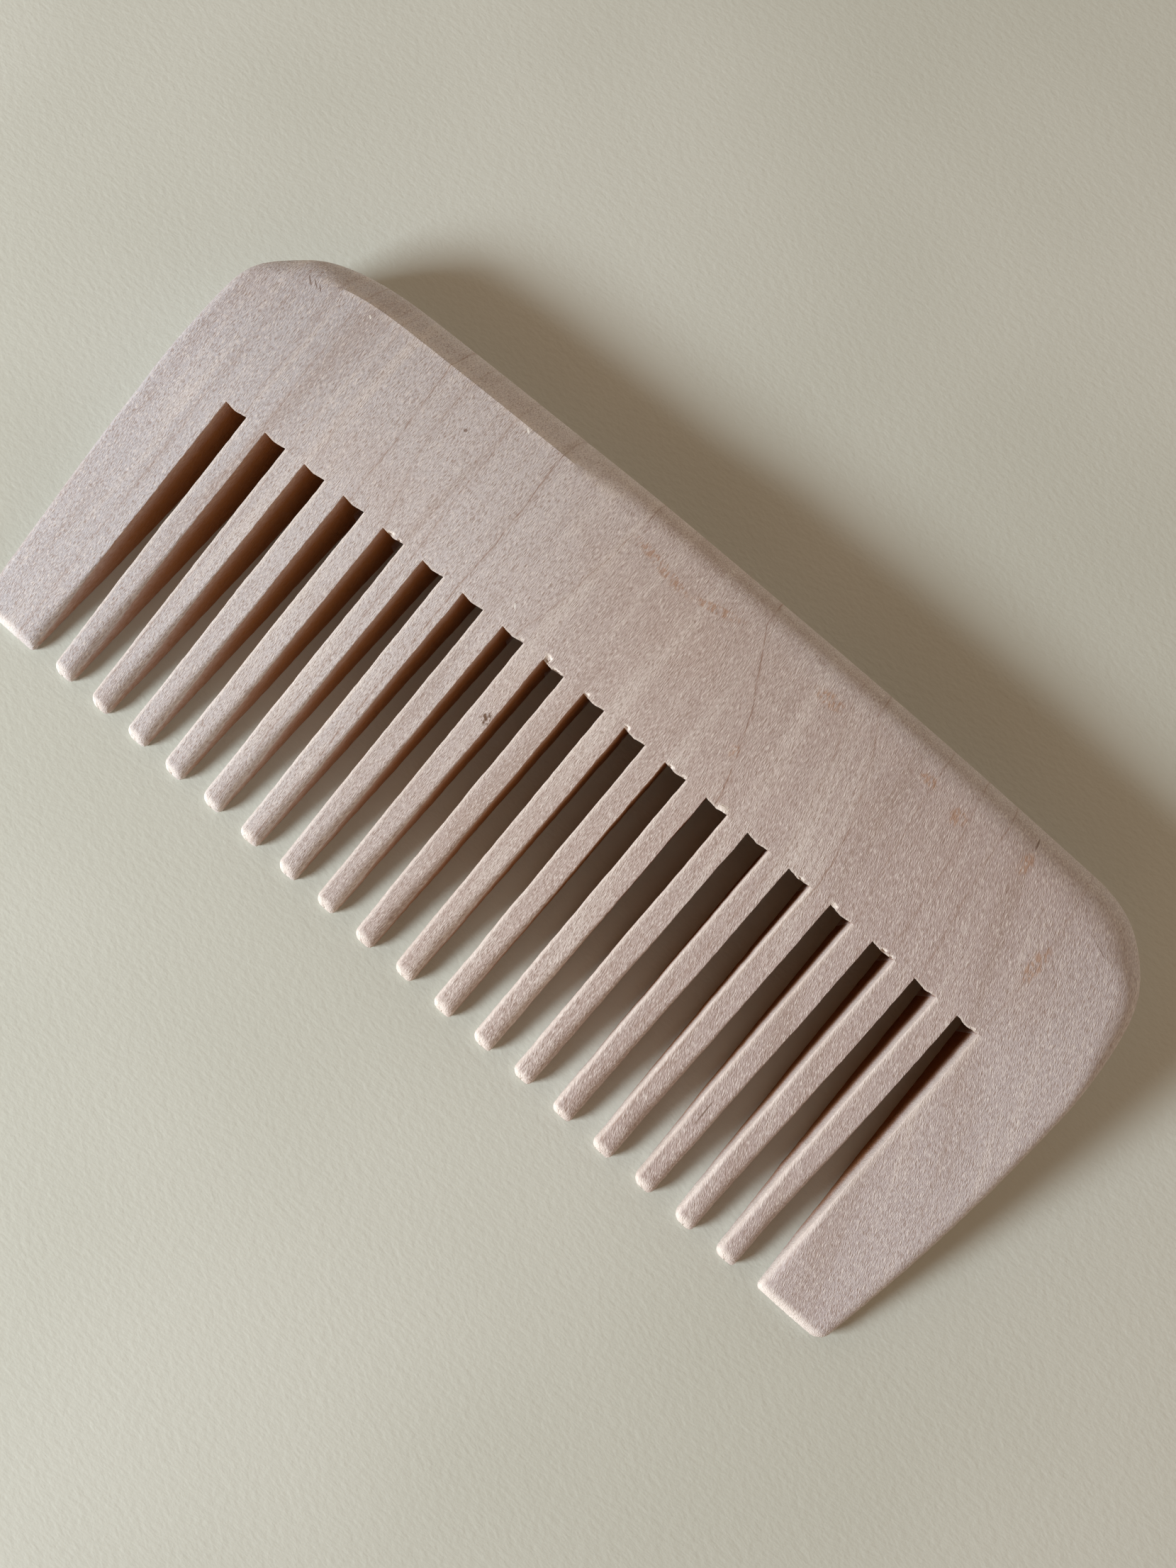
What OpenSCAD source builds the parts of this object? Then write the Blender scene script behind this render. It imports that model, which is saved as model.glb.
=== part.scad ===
// Beard comb sawn from one flat piece of wood: a thick spine with a rounded back, and a row of
// teeth that taper to rounded tips between two wide end teeth.
// A round saw blade cut the slots, and left its curve in their roots.
// It lies on its flat underside, with the tips towards -Y and the back towards +Y.
// The origin is the middle of its length and width, on the surface that it lies on.

/* [Overall size] */
// Length from end to end, along X
comb_len = 118; // [116:1:150]
// Width from the tips of the teeth to the back, along Y
comb_w = 54; // [50:1:60]
// Thickness of the spine, along Z
spine_t = 9; // [8:0.5:11]

/* [Slots and teeth] */
// Number of slots sawn into the comb
slot_n = 19; // [9:1:19]
// Distance from one slot to the next
pitch = 5.3; // [4.8:0.1:5.4]
// Width of a slot, which is the thickness of the saw blade
slot_w = 2.7; // [1.8:0.1:2.8]
// Depth of the outermost slots
tooth_len = 32.5; // [26:0.5:34]
// How much further the middle slots reach into the spine than the outermost ones
root_rise = 0.65; // [0:0.05:2]
// Height of the ridge that the blade's grooved rim leaves in the middle of a slot's root
kerf_ridge = 0.2; // [0.05:0.05:0.4]
// Radius of the saw blade
blade_r = 50; // [40:5:80]
// How far below the underside the blade's centre passed, so that the roots lean back under the upper face
blade_drop = 9; // [6:1:11]
// Place of the row's middle along X
row_shift = -1.3; // [-1.5:0.1:1]
// How far each side of a tooth comes in from root to tip
tooth_draft = 0.1; // [0:0.05:0.2]
// Radius of the corners of a tip, seen from above
tip_corner_r = 0.6; // [0.2:0.1:0.7]

/* [Taper] */
// Thickness of the teeth at their tips
tip_t = 1.6; // [1.5:0.1:3]
// Distance from the back at which the tapered face meets the spine's flat face
taper_from = 14; // [11:1:18]
// Radius of the rounding of the tips, seen from the side
tip_r = 0.7; // [0.3:0.1:0.7]

/* [Outline] */
// Radius of the arched back
arch_r = 1300; // [800:50:3000]
// Place of the arch's crest along X
crest_x = -13; // [-20:0.5:15]
// Length of the left rounded corner along X
corner_w_left = 20; // [8:0.5:22]
// Length of the right rounded corner along X
corner_w_right = 12; // [8:0.5:22]
// Length of the rounded corners along Y
corner_h = 15; // [8:0.5:16]
// How far the left side comes in at the tip
side_in_left = 0.8; // [0:0.1:3.5]
// How far the right side comes in at the tip
side_in_right = 3.2; // [0:0.1:3.5]
// Radius of the rounded edge along the back
nose_r = 3.7; // [1:0.1:3.9]

/* [Hidden] */
half_len = comb_len / 2;
back_y = comb_w / 2;
tip_y = -comb_w / 2;
root_y = tip_y + tooth_len;
// The sides are widest a little above the roots, and run straight from there to the corners
widest_rise = 2.5;
widest_y = root_y + widest_rise;
// Exponents of the superellipses that round the left and the right corner
corner_power_left = 3;
corner_power_right = 2.5;
// Steps in each corner, side, arch and small arc
corner_steps = 14;
side_steps = 8;
arch_steps = 12;
arc_steps = 6;
// The rounded edge is made of slabs: the angle from one to the next, and how far the thickest one
// passes the flat faces
slab_angle = 15;
slab_over = 0.5;
// Reach of a cutting shape past the body
over = 1;

tooth_n = slot_n - 1;
row_half = ((slot_n - 1) * pitch + slot_w) / 2;

// The tapered upper face, and the large arc that joins it to the spine's flat face. The arc touches
// both faces at the same distance from the line where they would meet
taper_y = back_y - taper_from;
tip_top_y = tip_y + tip_r;
taper_slope = (spine_t - tip_t) / (taper_y - tip_top_y);
taper_angle = atan(taper_slope);
blend_len = 9;
blend_r = blend_len / tan(taper_angle / 2);

// From the blade's centre to a root, at the height of the upper face
root_t = spine_t - taper_slope * (taper_y - root_y);
blade_reach = sqrt(pow(blade_r, 2) - pow(blade_drop + root_t, 2));

wood_light = [0.80, 0.73, 0.68];
wood_mid = [0.76, 0.68, 0.62];
wood_dark = [0.71, 0.62, 0.56];

function tooth_name(i) = str("tooth_", i < 10 ? "0" : "", i);

// Edges of slot i, counted from 1 at the left
function slot_left(i) = row_shift - row_half + (i - 1) * pitch;
function slot_right(i) = slot_left(i) + slot_w;

// The slots' roots lie on a shallow arch that meets root_y at both ends of the row
function root_at(x) = root_y + root_rise * (1 - pow((x - row_shift) / row_half, 2));

function arch_at(x) = back_y - arch_r + sqrt(pow(arch_r, 2) - pow(x - crest_x, 2));

function side_inset(y, side_in) = side_in * pow(max(0, widest_y - y) / (widest_y - tip_y), 2);

function arc(centre, r, from, to) =
    [for (k = [0:arc_steps]) let (a = from + (to - from) * k / arc_steps)
        centre + r * [cos(a), sin(a)]];

// A corner never reaches below the place where the sides are widest
function corner_fall(dir) = min(corner_h, arch_at(dir * half_len) - widest_y);

// A corner of the outline, from the back round to the side. dir is -1 at the left, 1 at the right
function corner_points(dir, corner_w, power) =
    [for (k = [0:corner_steps])
        let (
            a = 90 * k / corner_steps,
            x = dir * (half_len - corner_w + corner_w * pow(sin(a), 2 / power))
        )
        [x, arch_at(x) - corner_fall(dir) * (1 - pow(cos(a), 2 / power))]];

// A side of the outline, from its widest place down to the height low_y
function side_points(dir, side_in, low_y) =
    [for (k = [0:side_steps]) let (y = widest_y + (low_y - widest_y) * k / side_steps)
        [dir * (half_len - side_inset(y, side_in)), y]];

function reversed(points) = [for (k = [len(points) - 1:-1:0]) points[k]];

// The back between the two corners
arch_from = corner_w_left - half_len;
arch_to = half_len - corner_w_right;
arch_points =
    [for (k = [1:arch_steps - 1]) let (x = arch_from + (arch_to - arch_from) * k / arch_steps)
        [x, arch_at(x)]];

// The outline above low_y, clockwise from the left side
function outline(low_y) = concat(
    reversed(side_points(-1, side_in_left, low_y)),
    reversed(corner_points(-1, corner_w_left, corner_power_left)),
    arch_points,
    corner_points(1, corner_w_right, corner_power_right),
    side_points(1, side_in_right, low_y)
);

// The spine's lower edge, from right to left. It dips into each slot, where the blade cuts it away
dip = 0.5;
dip_slope = 0.1;
lower_edge =
    [for (i = [slot_n:-1:1]) for (p = [
        [slot_right(i), root_at(slot_right(i))],
        [slot_right(i) - dip_slope, root_at(slot_right(i)) - kerf_ridge - dip],
        [slot_left(i) + dip_slope, root_at(slot_left(i)) - kerf_ridge - dip],
        [slot_left(i), root_at(slot_left(i))]
    ]) p];

// The comb seen from its end: a flat underside and an upper face that tapers to the tips
side_profile = concat(
    [[back_y + over, 0]],
    arc([tip_y + tip_r, tip_r], tip_r, 270, 180),
    arc([tip_y + tip_r, tip_t - tip_r], tip_r, 180, 90 + taper_angle),
    [for (k = [arc_steps:-1:0]) let (a = taper_angle * k / arc_steps)
        [taper_y + blend_len - blend_r * sin(a), spine_t - blend_r * (1 - cos(a))]],
    [[back_y + over, spine_t]]
);

// Everything between the underside and the tapered upper face
module wedge() {
    rotate([90, 0, 90])
        translate([0, 0, -half_len - over])
            linear_extrude(comb_len + 2 * over)
                polygon(side_profile);
}

// One slab of the rounded edge: the outline drawn in by inset, thinner than the spine by drop on
// each side
module edge_slab(drop, inset) {
    translate([0, 0, drop])
        linear_extrude(spine_t - 2 * drop)
            offset(delta = -inset)
                polygon(outline(tip_y));
}

// The body inside the rounded back edge, which fades out along the sides towards the roots
module rounded_edge() {
    hull() {
        edge_slab(-slab_over, nose_r);
        for (a = [slab_angle:slab_angle:90])
            edge_slab(nose_r * (1 - cos(a)), nose_r * (1 - sin(a)));
        translate([-half_len, root_y - over, -over])
            cube([comb_len, over, spine_t + over]);
    }
}

// The saw blade where it stopped in slot i, with a shallow groove round its rim
module blade(i) {
    translate([slot_left(i), root_at(slot_left(i) + slot_w / 2) - blade_reach, -blade_drop])
        rotate([90, 0, 90])
            rotate_extrude($fn = 180)
                polygon([
                    [0, 0],
                    [blade_r, 0],
                    [blade_r - kerf_ridge, slot_w / 2],
                    [blade_r, slot_w],
                    [0, slot_w]
                ]);
}

module spine() {
    color(wood_mid)
        difference() {
            intersection() {
                translate([0, 0, -over])
                    linear_extrude(spine_t + 2 * over)
                        polygon(concat(outline(root_y), lower_edge));
                wedge();
                rounded_edge();
            }
            for (i = [1:slot_n])
                blade(i);
        }
}

// A tooth with the given outline, from its root down to its tip
module tooth_body(points) {
    intersection() {
        translate([0, 0, -over])
            linear_extrude(spine_t + 2 * over)
                polygon(points);
        wedge();
    }
}

module tooth(i) {
    left = slot_right(i);
    right = slot_left(i + 1);
    corner_in = tooth_draft + tip_corner_r;
    color(i % 2 == 0 ? wood_light : wood_dark)
        tooth_body(concat(
            [[left, root_at(left)]],
            arc([left + corner_in, tip_y + tip_corner_r], tip_corner_r, 180, 270),
            arc([right - corner_in, tip_y + tip_corner_r], tip_corner_r, 270, 360),
            [[right, root_at(right)]]
        ));
}

// A wide end tooth. dir is -1 at the left and 1 at the right
module end_tooth(dir, side_in) {
    inner = dir < 0 ? slot_left(1) : slot_right(slot_n);
    inner_tip = inner + dir * (tooth_draft + tip_corner_r);
    outer_tip = dir * (half_len - side_in - tip_corner_r);
    side = [for (p = side_points(dir, side_in, tip_y)) if (p[1] < root_y && p[1] > tip_y + over) p];
    color(wood_light)
        tooth_body(concat(
            [[inner, root_y]],
            arc([inner_tip, tip_y + tip_corner_r], tip_corner_r, dir < 0 ? 360 : 180, 270),
            arc([outer_tip, tip_y + tip_corner_r], tip_corner_r, 270, dir < 0 ? 180 : 360),
            reversed(side),
            [[dir * (half_len - side_inset(root_y, side_in)), root_y]]
        ));
}

module end_tooth_left() {
    end_tooth(-1, side_in_left);
}

module end_tooth_right() {
    end_tooth(1, side_in_right);
}

spine();
end_tooth_left();
end_tooth_right();
for (i = [1:tooth_n])
    tooth(i);
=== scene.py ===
"""A wooden beard comb lying on a pale board.

Each named region of the comb gets a detailed mesh in the place of its CAD node: the spine with its
rounded back and slot roots with broken fibres, two end teeth, and a row of teeth that soften towards
their tips.
Shapes are worked out in millimetres and turned into metres when a mesh is made.
"""

import math

import bmesh
import bpy
import numpy as np
from mathutils import Matrix, Vector


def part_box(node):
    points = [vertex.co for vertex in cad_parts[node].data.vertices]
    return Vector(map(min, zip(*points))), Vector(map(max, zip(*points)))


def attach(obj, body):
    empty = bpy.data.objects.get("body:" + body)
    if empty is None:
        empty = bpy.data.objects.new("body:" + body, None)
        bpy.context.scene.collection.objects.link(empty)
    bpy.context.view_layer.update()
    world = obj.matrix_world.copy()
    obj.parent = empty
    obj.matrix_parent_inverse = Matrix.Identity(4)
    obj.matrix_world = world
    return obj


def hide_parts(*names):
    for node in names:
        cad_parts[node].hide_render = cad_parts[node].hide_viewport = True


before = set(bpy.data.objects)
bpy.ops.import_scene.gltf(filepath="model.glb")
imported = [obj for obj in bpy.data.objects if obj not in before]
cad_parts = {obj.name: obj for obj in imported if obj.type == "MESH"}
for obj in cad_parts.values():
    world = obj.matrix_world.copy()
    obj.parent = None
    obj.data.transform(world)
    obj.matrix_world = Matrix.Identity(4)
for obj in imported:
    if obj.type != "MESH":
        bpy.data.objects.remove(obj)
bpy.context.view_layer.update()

MM = 0.001

# ---------------------------------------------------------------- sizes taken from the frame


def node_box(node):
    """Lowest and highest corner of a CAD node, in millimetres."""
    return [np.array(corner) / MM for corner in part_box(node)]


tooth_names = sorted(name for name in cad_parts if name.startswith("tooth_"))
spine_high = node_box("spine")[1]
left_low, left_high = node_box("end_tooth_left")
right_low = node_box("end_tooth_right")[0]
tooth_boxes = [node_box(name) for name in tooth_names]

half_len = spine_high[0]
back_y = spine_high[1]
spine_t = spine_high[2]
tip_y = left_low[1]
root_y = left_high[1]
# Both edges of every slot, from left to right
slot_left = [left_high[0]] + [high[0] for low, high in tooth_boxes]
slot_right = [low[0] for low, high in tooth_boxes] + [right_low[0]]
row_mid = (slot_left[0] + slot_right[-1]) / 2
row_half = (slot_right[-1] - slot_left[0]) / 2
root_rise = max(high[1] for low, high in tooth_boxes) - root_y

# ---------------------------------------------------------------- sizes shared with the CAD, mm

TIP_T = 1.6            # thickness at the tips
TIP_R = 0.7            # rounding of the tips, seen from the side
TAPER_FROM = 14        # from the back to where the taper meets the spine's flat face
BLEND_LEN = 9          # half the length of the blend between them
TOOTH_DRAFT = 0.1      # how far each side of a tooth comes in
ARCH_R = 1300          # radius of the back
CREST_X = -13          # X of the back's highest point
CORNER_H = 15          # length of both rounded corners along Y
WIDEST_Y = root_y + 2.5     # where the sides are widest
# Of the left (-1) and the right (1) side: the corner's length along X, the exponent of the
# superellipse that rounds it, and how far the side comes in at the tips
CORNER_W = {-1: 20, 1: 12}
CORNER_POWER = {-1: 3, 1: 2.5}
SIDE_IN = {-1: 0.8, 1: 3.2}
BLADE_R = 50           # saw blade that cut the slots
BLADE_DROP = 9         # how far below the underside its centre passed
KERF_RIDGE = 0.2       # ridge that it leaves in the middle of a root

taper_y = back_y - TAPER_FROM
taper_slope = (spine_t - TIP_T) / (taper_y - tip_y - TIP_R)
blend_r = BLEND_LEN / math.tan(math.atan(taper_slope) / 2)
blend_from = taper_y - BLEND_LEN * math.cos(math.atan(taper_slope))
blend_to = taper_y + BLEND_LEN


def top_height(y):
    """Height of the upper face: flat on the spine, then blended into an even taper to the tips."""
    y = np.asarray(y, float)
    reach = np.clip(y, blend_from, blend_to) - blend_to
    blend = spine_t - blend_r + np.sqrt(blend_r**2 - reach**2)
    return np.where(y < blend_from, spine_t + taper_slope * (y - taper_y), blend)


def root_at(x):
    """The slots' roots lie on a shallow arch."""
    return root_y + root_rise * (1 - ((np.asarray(x, float) - row_mid) / row_half) ** 2)


def arch_at(x):
    """Y of the arched back between the corners."""
    return back_y - ARCH_R + np.sqrt(ARCH_R**2 - (np.asarray(x, float) - CREST_X) ** 2)


def leaning_back(z, top_z):
    """How far a root lies behind its top edge, at height z, because the saw blade was round."""
    def reach(height):
        return np.sqrt(BLADE_R**2 - (height + BLADE_DROP) ** 2)
    return reach(z) - reach(top_z)


def side_at(y, side):
    """X of the comb's left (-1) or right (1) side, below the corner."""
    below = np.maximum(0, WIDEST_Y - np.asarray(y, float)) / (WIDEST_Y - tip_y)
    return side * (half_len - SIDE_IN[side] * below**2)


# ---------------------------------------------------------------- small helpers


def ramp(value, start, end):
    """0 before start and 1 after end, with a smooth change between them."""
    t = np.clip((np.asarray(value, float) - start) / (end - start), 0, 1)
    return t * t * (3 - 2 * t)


def bump(value, centre, reach):
    """1 at centre, falling smoothly to 0 at reach from it."""
    return 1 - ramp(np.abs(np.asarray(value, float) - centre), 0, reach)


def wobble(place, step, seed):
    """A smooth random curve between -1 and 1, with a new value every step along place."""
    knots = np.random.default_rng(seed).uniform(-1, 1, 2048)
    t = np.asarray(place, float) / step + 1024
    cell = np.floor(t).astype(int)
    part = t - cell
    part = part * part * (3 - 2 * part)
    return knots[cell % 2048] * (1 - part) + knots[(cell + 1) % 2048] * part


def grain(x, y, step_x, step_y, seed):
    """Smooth random field over the plan, between -1 and 1."""
    knots = np.random.default_rng(seed).uniform(-1, 1, (1024, 256))
    u = np.asarray(x, float) / step_x + 512
    v = np.asarray(y, float) / step_y + 128
    i, j = np.floor(u).astype(int), np.floor(v).astype(int)
    s, t = u - i, v - j
    s, t = s * s * (3 - 2 * s), t * t * (3 - 2 * t)
    low = knots[i % 1024, j % 256] * (1 - s) + knots[(i + 1) % 1024, j % 256] * s
    high = knots[i % 1024, (j + 1) % 256] * (1 - s) + knots[(i + 1) % 1024, (j + 1) % 256] * s
    return low * (1 - t) + high * t


# Points closer than this become one, and edges shorter than this are removed
MERGE_DISTANCE = 0.001
SHORTEST_EDGE = 0.0001
# Edges that turn by more degrees than this stay sharp
SHARP_ANGLE = 28


class Shell:
    """One closed mesh, gathered from patches that share their borders.

    Every point has two marks that the wood's material reads: one for whitish broken fibre and open
    end grain, which also carries painted highlights on lit edges, and one for painted shade on the
    faces that the saw left in a slot.
    """

    def __init__(self):
        self.points = []
        self.marks = []
        self.faces = []

    def add(self, points, pale_fibre_and_highlight=0.0, sawn=0.0):
        """Adds an array of points and returns the index of each."""
        points = np.asarray(points, float)
        shape = points.shape[:-1]
        start = sum(len(p) for p in self.points)
        self.points.append(points.reshape(-1, 3))
        marks = [np.broadcast_to(mark, shape).ravel() for mark in (pale_fibre_and_highlight, sawn)]
        self.marks.append(np.stack(marks, 1))
        return start + np.arange(int(np.prod(shape))).reshape(shape)

    def grid(self, points, pale_fibre_and_highlight=0.0, sawn=0.0, closed=False):
        """Adds a grid of points with its faces. A closed grid joins its last column to its first."""
        index = self.add(points, pale_fibre_and_highlight, sawn)
        if closed:
            index = np.concatenate([index, index[:, :1]], 1)
        quads = np.stack([index[:-1, :-1], index[:-1, 1:], index[1:, 1:], index[1:, :-1]], -1)
        self.faces += quads.reshape(-1, 4).tolist()

    def cap(self, points, pale_fibre_and_highlight=0.0, sawn=0.0):
        """Adds one face with the given border."""
        self.faces.append(self.add(points, pale_fibre_and_highlight, sawn).tolist())

    def build(self, name, node):
        """Makes the object, which stands for a CAD node."""
        mesh = bpy.data.meshes.new(name)
        mesh.from_pydata((np.concatenate(self.points) * MM).tolist(), [], self.faces)
        marks = np.concatenate(self.marks)
        for column, label in enumerate(("pale_fibre_and_highlight", "sawn")):
            layer = mesh.attributes.new(label, "FLOAT", "POINT")
            layer.data.foreach_set("value", marks[:, column].astype(np.float32))
        bm = bmesh.new()
        bm.from_mesh(mesh)
        bmesh.ops.remove_doubles(bm, verts=bm.verts, dist=MERGE_DISTANCE * MM)
        bmesh.ops.dissolve_degenerate(bm, edges=bm.edges, dist=SHORTEST_EDGE * MM)
        bmesh.ops.recalc_face_normals(bm, faces=bm.faces)
        bm.to_mesh(mesh)
        bm.free()
        mesh.shade_smooth()
        mesh.set_sharp_from_angle(angle=math.radians(SHARP_ANGLE))
        piece = bpy.data.objects.new(name, mesh)
        bpy.context.scene.collection.objects.link(piece)
        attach(piece, "root")
        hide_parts(node)
        return piece


# ---------------------------------------------------------------- teeth

CORNER_STEPS = 5       # steps round each edge of a tooth
ROOT_EDGE = 0.05       # rounding of a tooth's edges at its root
RING_STEP = 0.3        # distance between a tooth's rings
TIP_RINGS = 10         # rings in the rounding of a tip
TIP_RAGGED = 0.25      # how much shorter than the CAD's a tooth can be
END_GRAIN = 0.05       # height of the rough end grain at a tip
# The edges of the teeth waver: how far, and over what length
WAVERS = [(0.022, 0.7), (0.035, 4)]


def section(left, right, low, high, corners, flat_steps):
    """Rounded rectangles across a tooth, one per ring.

    corners holds (across, down) radii for the bottom right, top right, top left and bottom left;
    flat_steps the number of steps along the right, top, left and bottom. The second result says which
    points lie on the right (1) and the left side (-1).
    """
    places = [(right, low, 1, -1), (right, high, 1, 1), (left, high, -1, 1), (left, low, -1, -1)]
    faces = (1, 0, -1, 0)
    arcs = []
    for k, ((x, z, sx, sz), (across, down)) in enumerate(zip(places, corners)):
        turn = (k - 1) * math.pi / 2 + np.linspace(0, math.pi / 2, CORNER_STEPS + 1)
        px = (x - sx * across)[:, None] + across[:, None] * np.cos(turn)
        pz = (z - sz * down)[:, None] + down[:, None] * np.sin(turn)
        arcs.append(np.stack([px, pz], -1))
    loop, face = [], []
    for k, steps in enumerate(flat_steps):
        begin, end = arcs[k][:, -1], arcs[(k + 1) % 4][:, 0]
        share = np.linspace(0, 1, steps + 1)[1:-1, None]
        loop += [arcs[k], begin[:, None] * (1 - share) + end[:, None] * share]
        face += [faces[k - 1]] + [0] * (CORNER_STEPS - 1) + [faces[k]] * steps
    return np.concatenate(loop, 1), np.array(face)


def waver(y, seed):
    """How far a saw-cut edge wanders from its straight line along Y."""
    return sum(reach * wobble(y, step, seed + k) for k, (reach, step) in enumerate(WAVERS))


def rounding(distance, radius):
    """How far a surface draws back, at a distance from the end of a rounding of that radius."""
    inside = np.clip(radius - distance, 0, radius)
    return radius - np.sqrt(radius**2 - inside**2)


def tooth_mesh(name, node, left, right, seed, shape):
    """A tooth from its root to its tip.

    left and right give its sides at a share of its length, and shape its other sizes.
    """
    random = np.random.default_rng(seed)
    end_y = tip_y + random.uniform(0, TIP_RAGGED)
    tip_len = shape["tip_len"]
    length = root_y - end_y
    straight = np.linspace(0, 1 - tip_len / length, int(length / RING_STEP))
    rounded = 1 - tip_len / length * (1 - np.sin(np.linspace(0, math.pi / 2, TIP_RINGS + 1)[1:]))
    share = np.concatenate([straight, rounded])
    ring_y = root_y + (end_y - root_y) * share
    to_tip = ring_y - end_y

    # The edges aren't quite straight, except at the root, where they meet the spine
    settle = ramp(share, 0, 0.04)
    x_left = left(share) + rounding(to_tip, shape["tip_left"]) + settle * waver(ring_y, seed + 1)
    x_right = right(share) - rounding(to_tip, shape["tip_right"]) + settle * waver(ring_y, seed + 3)
    high = top_height(ring_y) - rounding(to_tip, shape["tip_top"])
    low = rounding(to_tip, shape["tip_under"])

    limit_x = 0.49 * (x_right - x_left)
    limit_z = 0.49 * (high - low)
    corners = []
    for start, full, grows_from in shape["edges"]:
        radius = start + (full - start) * ramp(share, grows_from, 1.05) ** 1.4
        corners.append((np.minimum(radius, limit_x), np.minimum(radius, limit_z)))
    loop, face = section(x_left, x_right, low, high, corners, shape["flat_steps"])

    # The root follows the arch of the roots, and the rings level out towards the tip
    ends = root_at(left(0)), root_at(right(0))
    across = (loop[..., 0] - left(0)) / (right(0) - left(0))
    root_here = ends[0] * (1 - across) + ends[1] * across
    if shape["straight_root"]:
        root_here = np.full_like(across, root_y)
    y = root_here * (1 - share[:, None]) + end_y * share[:, None]
    z = loop[..., 1] * top_height(y) / top_height(ring_y)[:, None]

    # Open end grain at the tip is rough
    rough = ramp(to_tip, 0.9, 0.1)[:, None]
    y = y + END_GRAIN * rough * random.uniform(-1, 1, y.shape) * (to_tip[:, None] > 0)
    # Pale end grain at the tip, painted paler on its upper left part, which faces the window light:
    # partly a painted highlight
    pale_fibre_and_highlight = ramp(to_tip, shape["pale_len"] * 1.5, shape["pale_len"] * 0.6)[:, None]
    pale_fibre_and_highlight = pale_fibre_and_highlight * ramp(z, 0.25, 0.7) * (0.75 - 0.6 * ramp(across, 0.4, 0.9))
    # Painted shade on the slot walls: brown deep in a slot, most near the roots, strongest on walls
    # facing +X;
    # walls facing -X, lit by the window near their top, get it only further down
    in_slot = (face != 0) & (face != shape["outer"])
    depth = top_height(y) - z
    deep = np.where(face > 0, 0.6 + 0.4 * ramp(depth, 0.2, 2.4), ramp(depth, 1.2, 3.4))
    near_root = 0.72 + 0.28 * ramp(share, 0.9, 0.4)[:, None]
    sawn = in_slot * deep * near_root * ramp(to_tip, 0.2, 1.2)[:, None]
    # Painted highlight: the upper left edge and the wall just below it face the window light and are
    # painted pale
    edge = ramp(loop[..., 0] - x_left[:, None], 0.55, 0.2) * ramp(depth, 2.2, 1.2)
    pale_fibre_and_highlight = np.maximum(pale_fibre_and_highlight, 0.5 * edge * (shape["outer"] >= 0))

    shell = Shell()
    points = np.stack([loop[..., 0], y, z], -1)
    shell.grid(points, pale_fibre_and_highlight, sawn, closed=True)
    shell.cap(points[0], pale_fibre_and_highlight[0], sawn[0])
    shell.cap(points[-1], pale_fibre_and_highlight=0.5)
    return shell.build(name, node)


def fine_tooth(number):
    """One of the fine teeth, counted from 1 at the left, each a little different from the next."""
    left, right = slot_right[number - 1], slot_left[number]
    random = np.random.default_rng(40 + number)
    thin = random.uniform(-0.04, 0.04)
    soft = random.uniform(0.8, 1.25)
    shape = {
        "tip_len": 1.5,
        "tip_left": 0.95 * random.uniform(0.85, 1.15),
        "tip_right": 0.5 * random.uniform(0.8, 1.2),
        "tip_top": 1.0,
        "tip_under": 0.1,
        "pale_len": 0.75 * random.uniform(0.8, 1.2),
        # Bottom right, top right, top left, bottom left: radius at the root and at the tip, and the
        # share of the length at which it begins to grow
        "edges": [(ROOT_EDGE, 0.3, 0.5), (ROOT_EDGE, 1.35 * soft, 0.2),
                  (0.2, 0.6 * soft, 0.3), (ROOT_EDGE, 0.3, 0.5)],
        "flat_steps": (6, 12, 6, 4),
        "straight_root": False,
        "outer": 0,
    }
    return tooth_mesh(
        f"comb_{tooth_names[number - 1]}",
        tooth_names[number - 1],
        lambda share: left + (TOOTH_DRAFT + thin) * np.asarray(share),
        lambda share: right - (TOOTH_DRAFT - thin) * np.asarray(share),
        seed=100 * number,
        shape=shape,
    )


def end_tooth(side):
    """A wide end tooth, at the left (-1) or the right (1)."""
    node = "end_tooth_left" if side < 0 else "end_tooth_right"
    inner = slot_left[0] if side < 0 else slot_right[-1]

    def inner_side(share):
        return inner + side * TOOTH_DRAFT * np.asarray(share)

    def outer_side(share):
        return side_at(root_y + (tip_y - root_y) * np.asarray(share), side)

    inner_edge = (ROOT_EDGE, 1.5, 0.5)
    outer_edge = (EDGE_AT_ROOT[side], 1.0, 0.3)
    under = (ROOT_EDGE, 0.35, 0.5)
    outer_under = (EDGE_AT_ROOT[side], 0.5, 0.3)
    shape = {
        "tip_len": 1.3,
        "tip_left": 1.1 if side < 0 else 0.6,
        "tip_right": 0.5 if side < 0 else 1.2,
        "tip_top": 0.95,
        "tip_under": 0.3,
        "pale_len": 0.8,
        "edges": [under, inner_edge, outer_edge, outer_under] if side < 0
        else [outer_under, outer_edge, inner_edge, under],
        "flat_steps": (6, 32, 6, 12),
        "straight_root": True,
        "outer": side,
    }
    sides = (outer_side, inner_side) if side < 0 else (inner_side, outer_side)
    return tooth_mesh(f"comb_{node}", node, *sides, seed=50 + side, shape=shape)


# ---------------------------------------------------------------- spine

# Width of the rounded band at the root, on the left and the right side
EDGE_AT_ROOT = {-1: 0.7, 1: 1.2}
BACK_EDGE = 3.7        # width and height of the band along the back
# Distances from the roots to the rows of points on the spine's faces
ROW_DISTANCES = np.concatenate([np.arange(0, 0.9, 0.12), np.geomspace(0.96, 20, 30)])
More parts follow.
